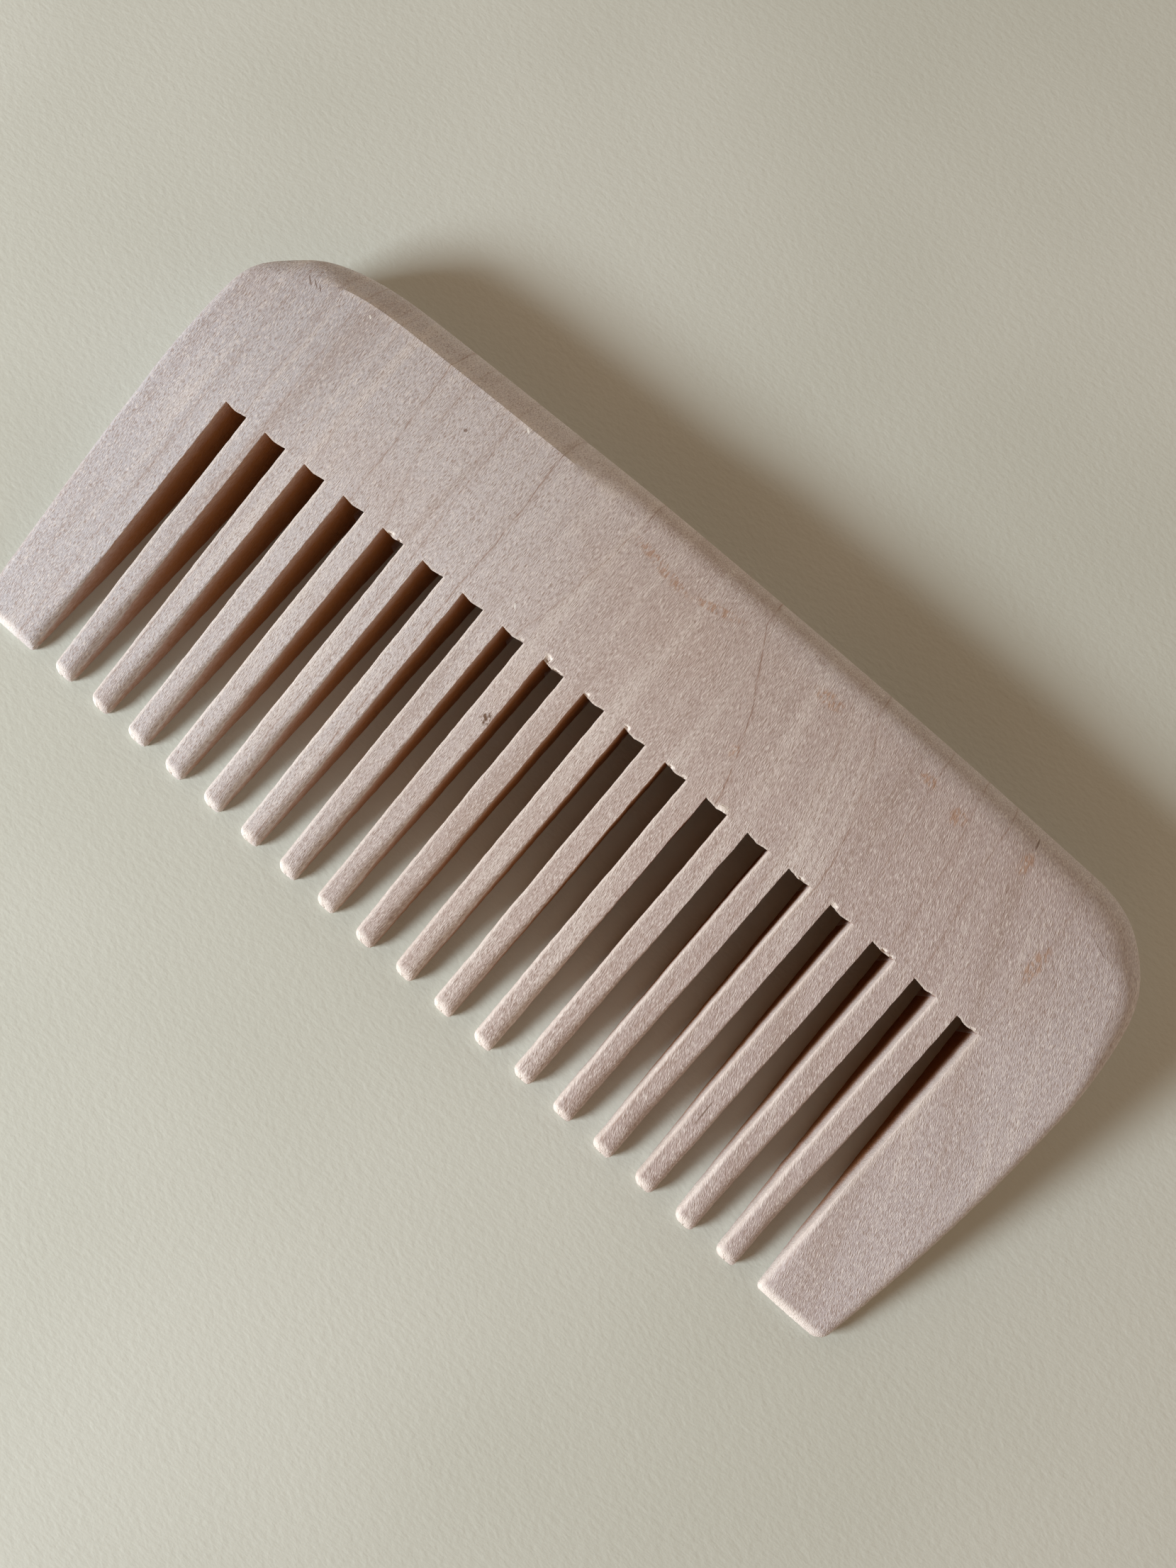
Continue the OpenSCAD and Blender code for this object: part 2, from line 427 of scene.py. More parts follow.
# Depths below the upper face at which a root's wall has its rows of points
WALL_DEPTHS = np.array([0, 0.08, 0.18, 0.32, 0.5, 0.8, 1.3, 2.2, 3.6, 5.4])
SLOT_CORNER = 0.03     # width of the corner between a root and a side wall
SLOT_STEPS = 18        # steps across a slot
TOOTH_STEPS = 6        # steps across the root of a fine tooth
END_STEPS = 26         # steps across the root of an end tooth
UPPER_STEPS = 10       # steps in the upper half of the rounded band
LOWER_STEPS = 8        # steps in its lower half

# Torn places at the roots: slot number, place across the slot (0 left, 1 right), distance behind the
# root, half-width, half-length, and depth, in mm. A negative depth is a raised clump of fibres
CHIPS = [
    (5, 0.42, 0.05, 0.40, 0.20, 0.20),
    (5, 0.80, 0.05, 0.22, 0.18, 0.18),
    (8, 0.86, 0.12, 0.22, 0.16, 0.12),
    (9, 0.13, 0.42, 0.36, 0.42, 0.42),
    (9, 0.70, 0.02, 0.60, 0.14, 0.15),
    (10, 0.14, 0.12, 0.26, 0.20, 0.16),
    (11, 0.10, 0.12, 0.34, 0.34, 0.26),
    (12, 0.30, 0.02, 0.35, 0.20, 0.20),
    (12, 0.88, 0.10, 0.25, 0.18, 0.12),
    (13, 0.74, 0.22, 0.62, 0.34, -0.10),
    (15, 0.60, 0.04, 0.28, 0.16, 0.14),
    (16, 0.14, 0.14, 0.34, 0.26, 0.20),
    (17, 0.50, 0.06, 0.26, 0.18, 0.18),
    (17, 0.88, 0.08, 0.20, 0.16, 0.14),
    (19, 0.70, 0.04, 0.25, 0.14, 0.12),
]


def outline_points():
    """The comb's outline above the roots, dense, from the left root round to the right one."""
    turn = np.linspace(0, math.pi / 2, 400)

    def corner(side):
        width, power = CORNER_W[side], 2 / CORNER_POWER[side]
        x = side * (half_len - width + width * np.sin(turn) ** power)
        return np.stack([x, arch_at(x) - CORNER_H * (1 - np.cos(turn) ** power)], -1)

    def straight_side(side):
        y = np.linspace(root_y, corner(side)[-1, 1], 60)[:-1]
        return np.stack([side_at(y, side), y], -1)

    arch_x = np.linspace(CORNER_W[-1] - half_len, half_len - CORNER_W[1], 400)[1:-1]
    arch = np.stack([arch_x, arch_at(arch_x)], -1)
    return np.concatenate([
        straight_side(-1), corner(-1)[::-1], arch, corner(1), straight_side(1)[::-1],
    ])


def lengths_along(points):
    """The length of a line of points up to each of them."""
    return np.concatenate([[0], np.cumsum(np.hypot(*np.diff(points, axis=0).T))])


class Border:
    """The outline with its inward direction and the shape of the rounded band along it."""

    def __init__(self, places):
        """places are lengths along the outline, in mm from the left root."""
        dense = outline_points()
        run = lengths_along(dense)
        self.point = np.stack([np.interp(places, run, dense[:, k]) for k in (0, 1)], -1)
        slope = np.stack([np.gradient(dense[:, k], run) for k in (0, 1)], -1)
        ahead = np.stack([np.interp(places, run, slope[:, k]) for k in (0, 1)], -1)
        self.inward = np.stack([ahead[:, 1], -ahead[:, 0]], -1)
        self.inward /= np.linalg.norm(self.inward, axis=1)[:, None]
        x, y = self.point.T
        upright = y < WIDEST_Y + 2
        self.inward[upright] = np.stack([-np.sign(x[upright]), np.zeros(upright.sum())], -1)
        on_back = ramp(self.inward[:, 1], -0.15, -0.75)
        left = EDGE_AT_ROOT[-1] + 0.6 * ramp(y, root_y, root_y + 9)
        right = EDGE_AT_ROOT[1] + 1.6 * ramp(y, root_y, root_y + 10)
        side_edge = np.where(x < 0, left, right)
        soft = ramp(x, 22, 56) * on_back
        self.width = side_edge * (1 - on_back) + (BACK_EDGE + 1.8 * soft) * on_back
        self.depth = side_edge * (1 - on_back) + (BACK_EDGE + 0.3 * soft) * on_back
        self.under = side_edge * (1 - on_back) + BACK_EDGE * on_back
        # The band starts at a crisp edge on the left half of the back, and smoothly elsewhere
        self.crisp = math.radians(36) * on_back * ramp(x, -8.5, -22.5) * ramp(x, -54, -48)
        self.ridge = 0.1 * ramp(x, -12, 10) * on_back


def bezier(p0, p1, p2, p3, t):
    """A point at t on a cubic Bezier curve."""
    return (1 - t) ** 3 * p0 + 3 * t * (1 - t) ** 2 * p1 + 3 * t * t * (1 - t) * p2 + t**3 * p3


def band_profile(border):
    """Inset and height of each point of the band, from the top face round to the underside."""
    zero = np.zeros_like(border.width)
    inner_y = border.point[:, 1] + border.inward[:, 1] * border.width
    top = top_height(inner_y)
    t = np.linspace(0, 1, UPPER_STEPS + 1)[:, None]
    # With this pull, the curve comes close to a quarter of a circle
    pull = 0.5523
    reach = pull * border.width
    start = border.width - reach * np.cos(border.crisp)
    inset = bezier(border.width, start, border.ridge, border.ridge, t)
    fall = bezier(zero, reach * np.sin(border.crisp), border.depth * (1 - pull), border.depth, t)
    upper = np.stack([inset, top - fall], -1)
    middle = np.stack([zero, (top - border.depth + border.under) / 2], -1)[None]
    t = np.linspace(0, 1, LOWER_STEPS + 1)[:, None]
    inset = bezier(border.ridge, border.ridge, border.under * (1 - pull), border.under, t)
    rise = bezier(border.under, border.under * (1 - pull), zero, zero, t)
    lower = np.stack([inset, rise], -1)
    return np.concatenate([upper, middle, lower])


def coons(bottom, top, left, right, along, up):
    """A grid of points between four borders, with its columns at along and its rows at up."""
    u, v = along[None, :, None], up[:, None, None]
    sides = (1 - u) * left[:, None] + u * right[:, None]
    ends = (1 - v) * bottom[None] + v * top[None]
    corners = (1 - v) * ((1 - u) * bottom[0] + u * bottom[-1])
    corners = corners + v * ((1 - u) * top[0] + u * top[-1])
    return sides + ends - corners


def kerf_line(slot, x):
    """The root of a slot, with the ridge that the saw leaves in its middle."""
    left, right = slot_left[slot - 1], slot_right[slot - 1]
    t = (x - left) / (right - left)
    ends = root_at(left) * (1 - t) + root_at(right) * t
    return ends - KERF_RIDGE * (1 - np.abs(2 * t - 1))


def root_border(first_x, last_x):
    """X and Y along the row of roots, with the number of the slot at each point, or 0."""
    xs, ys, slots = [], [], []

    def span(x0, x1, steps, slot):
        x = np.linspace(x0, x1, steps + 1)
        if slot:
            # The outermost points stay close to the slot's side walls
            x[1], x[-2] = x0 + SLOT_CORNER, x1 - SLOT_CORNER
            y = kerf_line(slot, x)
        else:
            y = np.interp(x, [x0, x1], [ends_y(x0), ends_y(x1)])
        keep = slice(None, -1)
        xs.append(x[keep])
        ys.append(y[keep])
        slots.append(np.full(steps, slot))

    def ends_y(x):
        return root_at(np.clip(x, slot_left[0], slot_right[-1]))

    span(first_x, slot_left[0], END_STEPS, 0)
    for k in range(len(slot_left)):
        span(slot_left[k], slot_right[k], SLOT_STEPS, k + 1)
        if k < len(tooth_names):
            span(slot_right[k], slot_left[k + 1], TOOTH_STEPS, 0)
    span(slot_right[-1], last_x, END_STEPS, 0)
    xs.append([last_x])
    ys.append([root_y])
    slots.append([0])
    return np.concatenate(xs), np.concatenate(ys), np.concatenate(slots)


def spine_mesh():
    """The spine: the band round its back and sides, the row of roots, and its two faces."""
    dense = outline_points()
    run = lengths_along(dense)
    total = run[-1]

    first_x = side_at(root_y, -1) + EDGE_AT_ROOT[-1]
    last_x = side_at(root_y, 1) - EDGE_AT_ROOT[1]
    xs, ys, slots = root_border(first_x, last_x)
    along = (xs - first_x) / (last_x - first_x)
    up = ROW_DISTANCES / ROW_DISTANCES[-1]

    # The grid's upper corners lie on the rounded corners of the outline, where it turns by 45 degrees
    corner_x = {}
    for side, width in CORNER_W.items():
        turn = width * math.sin(math.pi / 4) ** (2 / CORNER_POWER[side])
        corner_x[side] = half_len - width + turn
    back_part = np.abs(dense[:, 1] - root_y) > 5
    places = {}
    for side in (-1, 1):
        near = back_part & (np.sign(dense[:, 0]) == side) & (np.abs(dense[:, 0]) <= corner_x[side])
        index = np.flatnonzero(near)[0 if side < 0 else -1]
        places[side] = run[index]

    # Along the back, the columns keep the roots' x, and close up towards the corners
    even = CORNER_W[-1] - half_len + 8, half_len - CORNER_W[1] - 8
    back_x = np.interp(xs, [first_x, *even, last_x], [-corner_x[-1], *even, corner_x[1]])
    order = slice(np.searchsorted(run, places[-1]), np.searchsorted(run, places[1]) + 1)
    back_run = np.interp(back_x, dense[order, 0], run[order])
    back_run[0], back_run[-1] = places[-1], places[1]
    left_run = up * places[-1]
    right_run = total - up * (total - places[1])

    border = Border(np.concatenate([left_run, back_run[1:-1], right_run[::-1]]))
    rows, columns = len(up), len(xs)
    profile = band_profile(border)
    plan = border.point[None] + border.inward[None] * profile[..., :1]
    shell = Shell()
    worn = ramp(np.arange(len(profile)), 2.2, 0)[:, None] * 0.35 * (border.crisp > 0.1)[None]
    shell.grid(np.concatenate([plan, profile[..., 1:]], -1), pale_fibre_and_highlight=worn)

    # Walls below the row of roots: broken fibre at the top edge only, and painted shade in the slots
    # below it
    edge_y = ys + torn_edge(xs)
    top_z = top_height(edge_y) - chips(xs, edge_y)[0]
    depth = np.concatenate([WALL_DEPTHS, [np.inf]])[:, None]
    wall_z = np.maximum(top_z[None] - depth, 0)
    cut_back = (inside_slot(xs, SLOT_CORNER * 0.9) > 0.99) * leaning_back(wall_z, top_z[None])
    wall_y = ys[None] + (edge_y - ys)[None] * ramp(depth, 0.45, 0) + cut_back
    wall_x = np.broadcast_to(xs, wall_z.shape)
    in_slot = (slots > 0)[None]
    pale_fibre_and_highlight = ramp(depth, 0.2, 0) * in_slot * 0.6
    shell.grid(np.stack([wall_x, wall_y, wall_z], -1), pale_fibre_and_highlight=pale_fibre_and_highlight, sawn=in_slot * ramp(depth, 0, 0.3))

    # Upper and lower faces, each inside its own edge of the band
    for upper in (True, False):
        edge = plan[0] if upper else plan[-1]
        left = edge[:rows]
        back = edge[rows - 1:rows - 1 + columns]
        right = edge[::-1][:rows]
        bottom = np.stack([xs, edge_y if upper else wall_y[-1]], -1)
        bottom[0], bottom[-1] = left[0], right[0]
        face = coons(bottom, back, left, right, along, up)
        x, y = face[..., 0], face[..., 1]
        if upper:
            sunk, pale = chips(x, y)
            z = top_height(y) - sunk
            shell.grid(np.stack([x, y, z], -1), pale_fibre_and_highlight=np.maximum(pale, root_burr(x, y - edge_y)))
        else:
            shell.grid(np.stack([x, y, np.zeros_like(x)], -1))

    # Ends of the band, over the end teeth
    for k in (0, -1):
        end = np.concatenate([plan[:, k], profile[:, k, 1:]], -1)
        column = np.stack([wall_x[:, k], wall_y[:, k], wall_z[:, k]], -1)
        shell.cap(np.concatenate([end, column[::-1][1:-1]]))
    return shell.build("comb_spine", "spine")


def chip_places():
    """Each place where fibres tore, as the X and Y of its middle, its half-width, half-length and depth.
    """
    for slot, across, behind, half, reach, depth in CHIPS:
        x = slot_left[slot - 1] + across * (slot_right[slot - 1] - slot_left[slot - 1])
        yield x, root_at(x) + behind, half, reach, depth


def inside_slot(x, reach=0.12):
    """0 at a slot's corners, where the teeth begin, and 1 at reach inside them."""
    near = [np.minimum(x - left, right - x) for left, right in zip(slot_left, slot_right)]
    return ramp(np.max(near, axis=0), 0, reach)


def torn_edge(x):
    """How far a root's top edge is broken back into the spine, or frayed out of it."""
    fray = 0.025 * wobble(x, 0.16, 7) + 0.03 * wobble(x, 0.45, 8)
    fray = fray * (0.5 + 0.5 * ramp(x, -20, 10))
    for centre, middle, half, reach, depth in chip_places():
        bite = max(0, reach - (middle - root_at(centre))) * 0.45
        fray = fray + bite * bump(x, centre, half) * (0.8 + 0.5 * wobble(x, 0.15, 9))
    return fray * inside_slot(x)


def chips(x, y):
    """Depth of the torn places below the top face, and how pale their broken fibres are."""
    sunk = np.zeros_like(x)
    pale = np.zeros_like(x)
    for centre, middle, half, reach, depth in chip_places():
        ragged = 1 + 0.3 * grain(x, y, 0.2, 0.3, 31)
        away = np.hypot((x - centre) / half, (y - middle) / reach) / ragged
        sunk = sunk + depth * ramp(away, 1.05, 0.6) * (0.8 + 0.5 * grain(x, y, 0.2, 0.2, 5))
        pale = np.maximum(pale, ramp(away, 1.3, 0.9))
    # The teeth's roots meet the spine flush
    return sunk * np.maximum(inside_slot(x), ramp(y - root_at(x), 0, 0.35)), pale


def root_burr(x, distance):
    """Pale burr along the top edge of each root."""
    burr = ramp(distance, 0.2, 0.06) * inside_slot(x)
    return burr * (0.9 + 0.4 * wobble(x, 0.35, 12)) * (0.55 + 0.45 * ramp(x, -25, 5))


# ---------------------------------------------------------------- wood


class Nodes:
    """Short calls for building a material's node tree. Lengths are in millimetres."""

    def __init__(self, name):
        self.material = bpy.data.materials.new(name)
        self.material.use_nodes = True
        self.tree = self.material.node_tree
        self.shader = self.tree.nodes["Principled BSDF"]
        place = self.tree.nodes.new("ShaderNodeTexCoord").outputs["Object"]
        scaled = self.tree.nodes.new("ShaderNodeVectorMath")
        scaled.operation = "SCALE"
        self.tree.links.new(place, scaled.inputs[0])
        scaled.inputs["Scale"].default_value = 1 / MM
        self.place = scaled.outputs[0]
        split = self.tree.nodes.new("ShaderNodeSeparateXYZ")
        self.tree.links.new(self.place, split.inputs[0])
        self.x, self.y, self.z = split.outputs

    def put(self, socket, value):
        """Links a socket, or sets a plain value, on another socket."""
        if isinstance(value, bpy.types.NodeSocket):
            self.tree.links.new(value, socket)
        else:
            socket.default_value = value

    def math(self, operation, a, b=0.0, c=None, clamp=False):
        """The result of one operation on sockets or numbers."""
        node = self.tree.nodes.new("ShaderNodeMath")
        node.operation = operation
        node.use_clamp = clamp
        self.put(node.inputs[0], a)
        self.put(node.inputs[1], b)
        if c is not None:
            self.put(node.inputs[2], c)
        return node.outputs[0]

    def ramp(self, value, start, end, low=0.0, high=1.0):
        """low before start and high after end, smooth between."""
        node = self.tree.nodes.new("ShaderNodeMapRange")
        node.interpolation_type = "SMOOTHSTEP"
        if start > end:
            start, end, low, high = end, start, high, low
        for socket, setting in zip(node.inputs, (value, start, end, low, high)):
            self.put(socket, setting)
        return node.outputs[0]

    def vector(self, x, y, z):
        node = self.tree.nodes.new("ShaderNodeCombineXYZ")
        for socket, value in zip(node.inputs, (x, y, z)):
            self.put(socket, value)
        return node.outputs[0]

    def noise(self, step, detail=2.0, rough=0.5, place=None, seed=0.0):
        """Noise with a cell of the given size along x, y and z, centred on 0.5."""
        stretch = self.tree.nodes.new("ShaderNodeVectorMath")
        stretch.operation = "MULTIPLY_ADD"
        self.put(stretch.inputs[0], place or self.place)
        stretch.inputs[1].default_value = [1 / s for s in step]
        stretch.inputs[2].default_value = (seed, seed * 1.7, seed * 0.6)
        node = self.tree.nodes.new("ShaderNodeTexNoise")
        self.put(node.inputs["Vector"], stretch.outputs[0])
        node.inputs["Scale"].default_value = 1.0
        node.inputs["Detail"].default_value = detail
        node.inputs["Roughness"].default_value = rough
        return node.outputs["Fac"]

    def mix(self, share, a, b):
        """Colour a turned into colour b by share."""
        node = self.tree.nodes.new("ShaderNodeMix")
        node.data_type = "RGBA"
        self.put(node.inputs["Factor"], share)
        for socket, colour in zip([s for s in node.inputs if s.type == "RGBA"], (a, b)):
            self.put(socket, colour if isinstance(colour, bpy.types.NodeSocket) else (*colour, 1))
        return [s for s in node.outputs if s.type == "RGBA"][0]

    def mark(self, label):
        """One of the marks that a Shell puts on its points."""
        node = self.tree.nodes.new("ShaderNodeAttribute")
        node.attribute_name = label
        return node.outputs["Fac"]

    def blob(self, centre, radii, turn=0.0):
        """1 inside an ellipse in the plan, turned by so many degrees, fading to 0 at its edge."""
        a = math.radians(turn)
        dx, dy = self.math("SUBTRACT", self.x, centre[0]), self.math("SUBTRACT", self.y, centre[1])
        cos, sin = math.cos(a), math.sin(a)
        along = self.math("ADD", self.math("MULTIPLY", dx, cos), self.math("MULTIPLY", dy, sin))
        over = self.math("SUBTRACT", self.math("MULTIPLY", dy, cos), self.math("MULTIPLY", dx, sin))
        far = self.math(
            "ADD",
            self.math("POWER", self.math("DIVIDE", along, radii[0]), 2.0),
            self.math("POWER", self.math("DIVIDE", over, radii[1]), 2.0),
        )
        return self.ramp(far, 1.0, 0.25)

    def relief(self, height, strength, distance):
        """Relief too fine to model. distance is its depth in mm where height changes by 1."""
        node = self.tree.nodes.new("ShaderNodeBump")
        node.inputs["Strength"].default_value = strength
        node.inputs["Distance"].default_value = distance * MM
        self.put(node.inputs["Height"], height)
        self.put(self.shader.inputs["Normal"], node.outputs[0])


# Colour at places along X, in mm: partly the wood's own tone, and partly painted light, with a grey-lilac
# painted sheen at both ends and painted shade darkening it towards the right
WOOD_TONE_SHEEN_AND_SHADE = [(-56, (0.53, 0.51, 0.54)), (-25, (0.60, 0.555, 0.56)), (2, (0.52, 0.425, 0.395)),
                (40, (0.485, 0.395, 0.38)), (56, (0.52, 0.46, 0.465))]
# Colours of its clouds, of the right half of the back, which is greyer, and of its finer features
PINK_WOOD = (0.50, 0.37, 0.315)
GREYER_BACK_COLOUR = (0.52, 0.485, 0.485)
LIGHT_FIBRE = (0.74, 0.67, 0.63)
DARK_FIBRE = (0.36, 0.265, 0.225)
GRAIN_LINE = (0.33, 0.22, 0.175)
RED_STAIN = (0.42, 0.25, 0.165)
# Pale broken fibre, also used as a painted highlight on lit edges
PALE_FIBRE_AND_HIGHLIGHT = (0.86, 0.78, 0.72)
# Painted shade for the slot walls
SAWN_WALL_SHADE = (0.33, 0.12, 0.02)
KNOT = (0.16, 0.09, 0.055)
BLEACHED = (0.92, 0.9, 0.86)

# Growth lines: X at the back, X at the roots, how far the line bows towards +X, and how dark it is
GROWTH_LINES = [
    (-52.7, -52.5, 0.1, 0.30), (-49.0, -48.2, 0.1, 0.22), (-46.5, -45.6, 0.1, 0.32),
    (-42.8, -41.8, -0.1, 0.26), (-41.6, -38.6, -0.2, 0.24), (-34.9, -33.8, 0.2, 0.45),
    (-32.0, -29.1, -0.8, 0.28), (-26.1, -24.9, 0.1, 0.35), (-19.9, -19.2, 0.2, 0.50),
    (-15.5, -15.6, 0.1, 0.15), (-9.0, -11.6, 0.4, 0.42), (6.7, 14.2, 0.9, 0.62),
    (18.0, 22.7, 0.5, 0.32), (20.9, 27.0, 1.1, 0.50), (29.2, 32.1, -0.4, 0.36),
    (33.7, 36.2, 0.3, 0.40), (37.4, 40.2, -0.3, 0.42), (46.9, 47.5, 0.4, 0.30),
]
# Clusters of brown flecks on the spine: centre and radii
FLECKS = [((28.8, 21.3), (1.4, 0.7)), ((33.1, 20.3), (1.1, 1.2)), ((40.9, 21.0), (0.8, 1.5)),
          ((12.4, 11.3), (0.6, 0.9)), ((47.6, 14.0), (0.9, 2.6)), ((16.3, 21.2), (2.2, 0.9))]
# Reddish smears near the middle of the back: centre, radii and turn in degrees
SMEARS = [((-4.9, 20.8), (5.0, 0.75), -11.0), ((2.1, 21.0), (3.6, 0.6), 13.0)]
# The knot in the eighth fine tooth: centre, radii and turn in degrees
KNOT_PLACE = ((-8.6, -1.9), (0.62, 0.9), 25.0)
# Small dark marks: centre, radii and turn in degrees
DARK_MARKS = [((40.7, 23.4), (0.13, 0.9), 8.0), ((-29.2, 18.8), (0.22, 0.25), 0.0),
              ((33.0, -17.3), (0.1, 1.7), 2.0), ((-52.1, 20.6), (0.09, 0.8), 52.0),
              ((-51.4, 20.7), (0.08, 0.7), 55.0), ((-50.7, 20.6), (0.08, 0.6), 50.0)]
# Small pale marks: centre, radii and turn in degrees
PALE_MARKS = [((-44.7, 21.6), (0.3, 0.11), -40.0), ((-24.4, 22.9), (0.5, 0.12), -38.0),
              ((-13.6, 8.4), (0.4, 0.09), -50.0)]


def growth_lines(n):
    """How strongly the growth lines show. In the teeth they run straight on along the grain."""
    up = n.math("DIVIDE", n.math("SUBTRACT", n.y, 6.5), 16.5, clamp=True)
    middle = n.math("MULTIPLY", n.math("MULTIPLY", up, n.math("SUBTRACT", 1.0, up)), 4.0)
    waver = n.math("SUBTRACT", n.noise((5, 5, 5), detail=2.0, seed=13.0), 0.5)
    x = n.math("MULTIPLY_ADD", waver, 0.9, n.x)
    shown = None
    for at_back, at_root, bow, dark in GROWTH_LINES:
        middle_x = n.math("MULTIPLY_ADD", up, at_back - at_root, at_root)
        middle_x = n.math("MULTIPLY_ADD", middle, bow, middle_x)
        away = n.math("ABSOLUTE", n.math("SUBTRACT", x, middle_x))
        line = n.math("ADD", n.ramp(away, 0.13, 0.0, 0.0, dark), n.ramp(away, 0.8, 0.0, 0.0, 0.25 * dark))
        shown = n.math("MAXIMUM", line, shown) if shown else line
    broken = n.ramp(n.noise((0.8, 1.6, 1.6), detail=2.0, seed=21.0), 0.35, 0.6, 0.35, 1.0)
    return n.math("MULTIPLY", shown, n.math("MULTIPLY", broken, 1.3), clamp=True)


def wood_material():
    """Pale wood, with its grain, growth lines, stains, small marks, painted shade on its saw-cut walls,
    and broken fibres that also carry painted highlights.
    """
    n = Nodes("comb_wood")
    # The grain runs along the teeth, and leans over on the right half
    lean = n.ramp(n.x, -5.0, 45.0, 0.0, 0.4)
    across = n.math("MULTIPLY_ADD", n.math("SUBTRACT", n.y, 10.0), lean, n.x)
    sway = n.math("MULTIPLY", n.math("SUBTRACT", n.noise((22, 30, 30), seed=3.0), 0.5), 2.2)
    leaning = n.vector(n.math("ADD", across, sway), n.y, n.z)

    base = WOOD_TONE_SHEEN_AND_SHADE[0][1]
    for (start, _), (end, colour) in zip(WOOD_TONE_SHEEN_AND_SHADE, WOOD_TONE_SHEEN_AND_SHADE[1:]):
        base = n.mix(n.ramp(n.x, float(start), float(end)), base, colour)
    broad = n.noise((2.6, 70, 9), detail=4.0, rough=0.6, place=leaning, seed=1.0)
    base = n.mix(n.ramp(broad, 0.5, 0.7, 0.0, 0.46), base, DARK_FIBRE)
    base = n.mix(n.ramp(broad, 0.48, 0.3, 0.0, 0.5), base, LIGHT_FIBRE)
    greyer_back = n.math("MULTIPLY", n.ramp(n.y, 20.5, 24.5), n.ramp(n.x, -10.0, 12.0))
    base = n.mix(n.math("MULTIPLY", greyer_back, 0.5), base, GREYER_BACK_COLOUR)
    cloud = n.noise((9, 9, 9), detail=2.0, seed=8.0)
    base = n.mix(n.ramp(cloud, 0.5, 0.75, 0.0, 0.18), base, PINK_WOOD)

    fibre = n.noise((0.08, 0.55, 0.13), detail=2.0, rough=0.5, place=leaning, seed=5.0)
    base = n.mix(n.ramp(fibre, 0.5, 0.7, 0.0, 0.85), base, DARK_FIBRE)
    base = n.mix(n.ramp(fibre, 0.5, 0.3, 0.0, 0.85), base, LIGHT_FIBRE)
    base = n.mix(growth_lines(n), base, GRAIN_LINE)

    stain = n.math("MAXIMUM", *[n.blob(*smear) for smear in SMEARS])
    for centre, radii in FLECKS:
        stain = n.math("MAXIMUM", stain, n.blob(centre, radii))
    flecks = n.ramp(n.noise((0.25, 0.6, 1), place=leaning, seed=31.0), 0.42, 0.6)
    base = n.mix(n.math("MULTIPLY", stain, n.math("MULTIPLY", flecks, 0.7)), base, RED_STAIN)
    for centre, radii, turn in DARK_MARKS:
        base = n.mix(n.math("MULTIPLY", n.blob(centre, radii, turn), 0.75), base, KNOT)
    for centre, radii, turn in PALE_MARKS:
        base = n.mix(n.blob(centre, radii, turn), base, BLEACHED)

    # Painted shade: brown where shade falls on the slot walls
    sawn = n.mark("sawn")
    base = n.mix(n.math("MULTIPLY", sawn, 0.96), base, SAWN_WALL_SHADE)
    knot = n.blob(*KNOT_PLACE)
    ragged = n.ramp(n.noise((0.35, 0.35, 1), seed=41.0), 0.38, 0.6)
    base = n.mix(n.math("MULTIPLY", knot, ragged), base, KNOT)
    # Pale broken fibre and end grain, and painted highlights on the lit edges of the teeth
    pale_fibre_and_highlight = n.mark("pale_fibre_and_highlight")
    base = n.mix(n.math("MULTIPLY", pale_fibre_and_highlight, 0.85), base, PALE_FIBRE_AND_HIGHLIGHT)

    n.put(n.shader.inputs["Base Color"], base)
    n.put(n.shader.inputs["Roughness"], n.ramp(fibre, 0.3, 0.7, 0.62, 0.8))
    n.shader.inputs["Specular IOR Level"].default_value = 0.35

    fuzz = n.noise((0.12, 0.3, 0.2), detail=2.0, place=leaning, seed=17.0)
    n.relief(n.math("MULTIPLY_ADD", fibre, -1.0, n.math("MULTIPLY", fuzz, 0.4)), 0.8, 0.12)
    return n.material


# ---------------------------------------------------------------- floor, light and camera

FLOOR_HALF = 0.75                       # half the board's side, in metres
CAMERA_PLACE = (14.47, -14.97, 130.18)  # in mm, like the place that it looks at
CAMERA_TARGET = (2.92, 0.45, 0)
CAMERA_ROLL = 3.78                      # in degrees
CAMERA_LENS = 28.97
# Each light: its place in mm, its width and height in metres, its power and its colour
LIGHTS = {
    "window": ((-316, -450, 243), (0.21, 0.12), 4.85, (0.88, 0.955, 1.0)),
    "far_wall": ((60, 480, 170), (0.5, 0.3), 0.35, (0.72, 0.95, 1.0)),
}
# Light from the room, low down and straight above: its strength and its colour
ROOM_LOW = (0.88, (1.0, 0.90, 0.68))
ROOM_ABOVE = (0.05, (1.0, 0.40, 0.14))
ROOM_FADE = (0.2, 0.93)                 # heights between which one turns into the other


def make_floor():
    """A pale board with a faint relief."""
    n = Nodes("board")
    tint = n.noise((60, 60, 60), detail=2.0, seed=2.0)
    fuzz = n.noise((0.8, 0.5, 0.6), detail=3.0, seed=4.0)
    base = n.mix(n.ramp(tint, 0.35, 0.65), (0.58, 0.595, 0.53), (0.635, 0.65, 0.59))
    n.put(n.shader.inputs["Base Color"], base)
    n.shader.inputs["Roughness"].default_value = 0.9
    n.relief(fuzz, 0.3, 0.15)
    mesh = bpy.data.meshes.new("board")
    corners = [(-1, -1, 0), (1, -1, 0), (1, 1, 0), (-1, 1, 0)]
    mesh.from_pydata([Vector(corner) * FLOOR_HALF for corner in corners], [], [(0, 1, 2, 3)])
    mesh.materials.append(n.material)
    floor = bpy.data.objects.new("board", mesh)
    bpy.context.scene.collection.objects.link(floor)


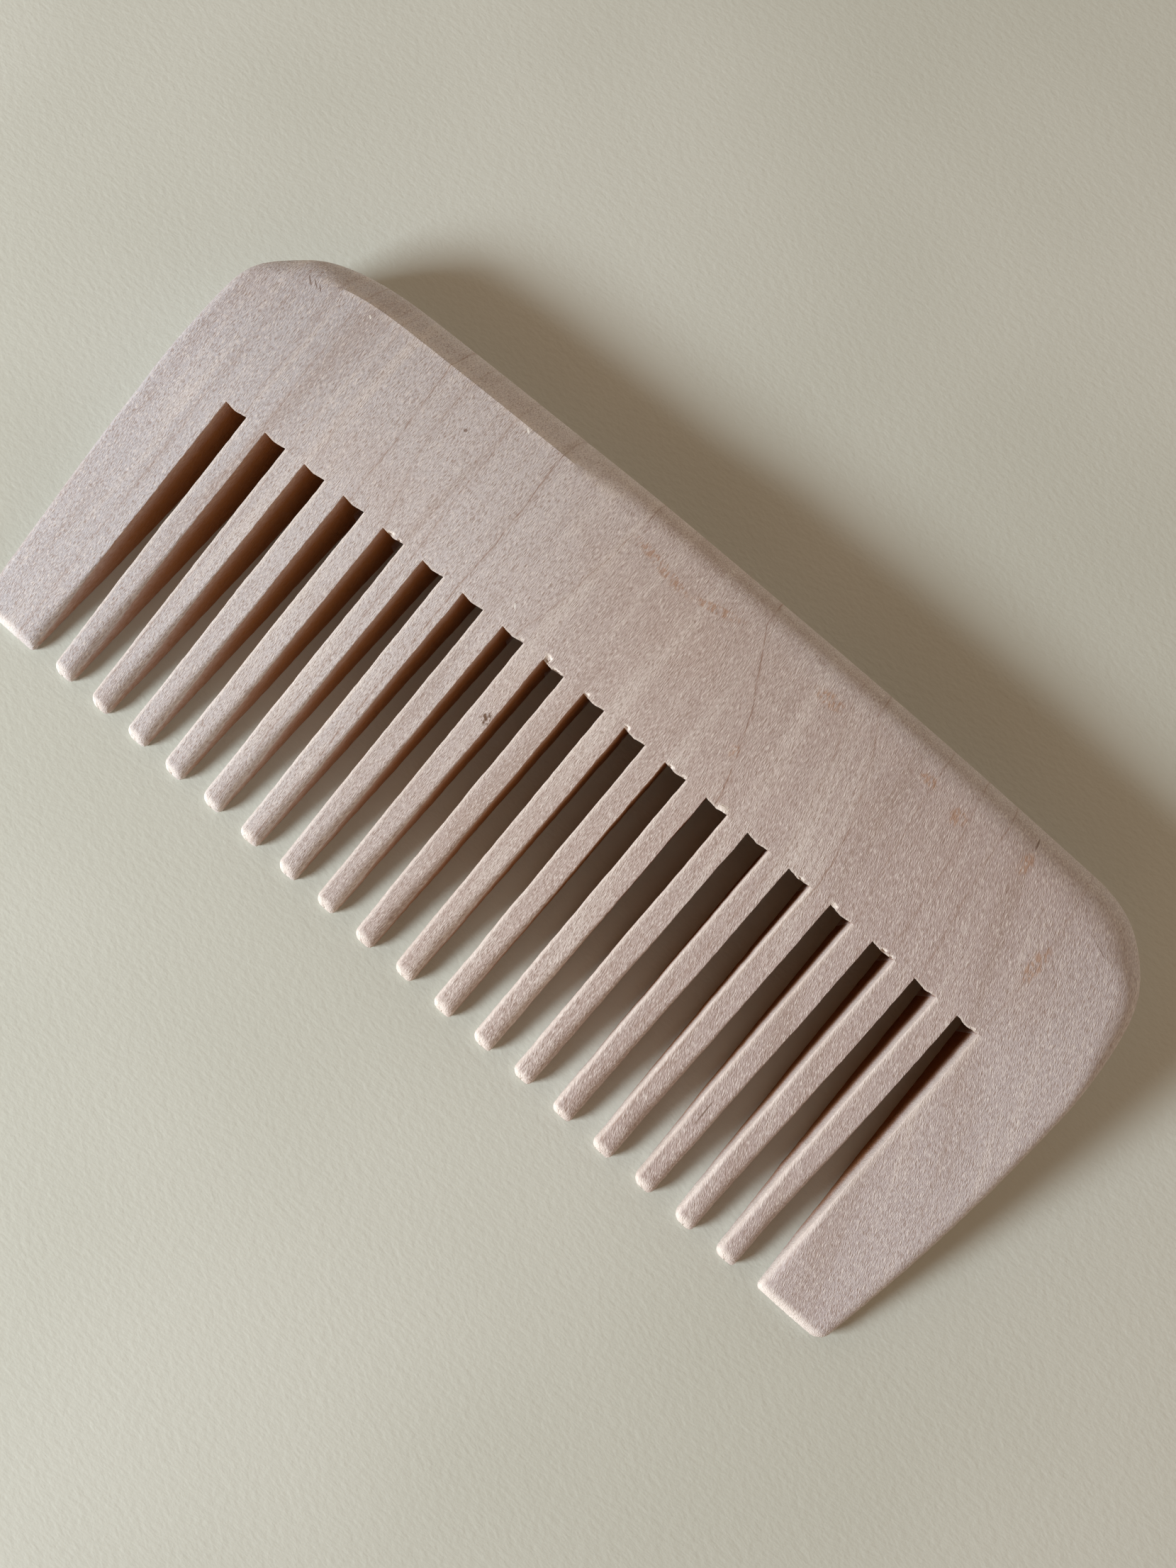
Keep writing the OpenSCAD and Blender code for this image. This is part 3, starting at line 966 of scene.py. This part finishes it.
def aim(place, target, roll=0.0):
    """A matrix at place that looks at target, both in millimetres, rolled by so many degrees."""
    place, target = Vector(place) * MM, Vector(target) * MM
    turned = (target - place).to_track_quat("-Z", "Y").to_matrix().to_4x4()
    return Matrix.Translation(place) @ turned @ Matrix.Rotation(math.radians(roll), 4, "Z")


def make_camera():
    """The camera, almost straight above the comb."""
    camera = bpy.data.cameras.new("camera")
    camera.sensor_fit = "VERTICAL"
    camera.sensor_height = 36
    camera.lens = CAMERA_LENS
    camera.clip_start = 0.005
    view = bpy.data.objects.new("camera", camera)
    view.matrix_world = aim(CAMERA_PLACE, CAMERA_TARGET, CAMERA_ROLL)
    bpy.context.scene.collection.objects.link(view)
    bpy.context.scene.camera = view


def make_light(name, place, size, power, colour):
    """A rectangular light that faces the middle of the comb."""
    data = bpy.data.lights.new(name, "AREA")
    data.shape = "RECTANGLE"
    data.size, data.size_y = size
    data.energy = power
    data.color = colour
    light = bpy.data.objects.new(name, data)
    light.matrix_world = aim(place, (0, 0, 0))
    bpy.context.scene.collection.objects.link(light)


def make_world():
    """Soft light from the room's walls, with little from straight above."""
    world = bpy.data.worlds.new("world")
    world.use_nodes = True
    tree = world.node_tree
    background = tree.nodes["Background"]
    split = tree.nodes.new("ShaderNodeSeparateXYZ")
    tree.links.new(tree.nodes.new("ShaderNodeTexCoord").outputs["Generated"], split.inputs[0])
    fade = tree.nodes.new("ShaderNodeMapRange")
    fade.interpolation_type = "SMOOTHSTEP"
    tree.links.new(split.outputs["Z"], fade.inputs["Value"])
    fade.inputs["From Min"].default_value = ROOM_FADE[0]
    fade.inputs["From Max"].default_value = ROOM_FADE[1]
    fade.inputs["To Min"].default_value = ROOM_LOW[0]
    fade.inputs["To Max"].default_value = ROOM_ABOVE[0]
    tree.links.new(fade.outputs[0], background.inputs["Strength"])
    tint = tree.nodes.new("ShaderNodeMix")
    tint.data_type = "RGBA"
    tree.links.new(fade.outputs[0], tint.inputs["Factor"])
    overhead, walls = [socket for socket in tint.inputs if socket.type == "RGBA"]
    overhead.default_value = (*ROOM_ABOVE[1], 1)
    walls.default_value = (*ROOM_LOW[1], 1)
    colour = [socket for socket in tint.outputs if socket.type == "RGBA"][0]
    tree.links.new(colour, background.inputs["Color"])
    bpy.context.scene.world = world
    bpy.context.scene.view_settings.view_transform = "Standard"


# ---------------------------------------------------------------- the scene

pieces = [spine_mesh(), end_tooth(-1), end_tooth(1)]
pieces += [fine_tooth(number) for number in range(1, len(tooth_names) + 1)]
wood = wood_material()
for piece in pieces:
    piece.data.materials.append(wood)

make_floor()
make_camera()
make_world()
for light_name, settings in LIGHTS.items():
    make_light(light_name, *settings)
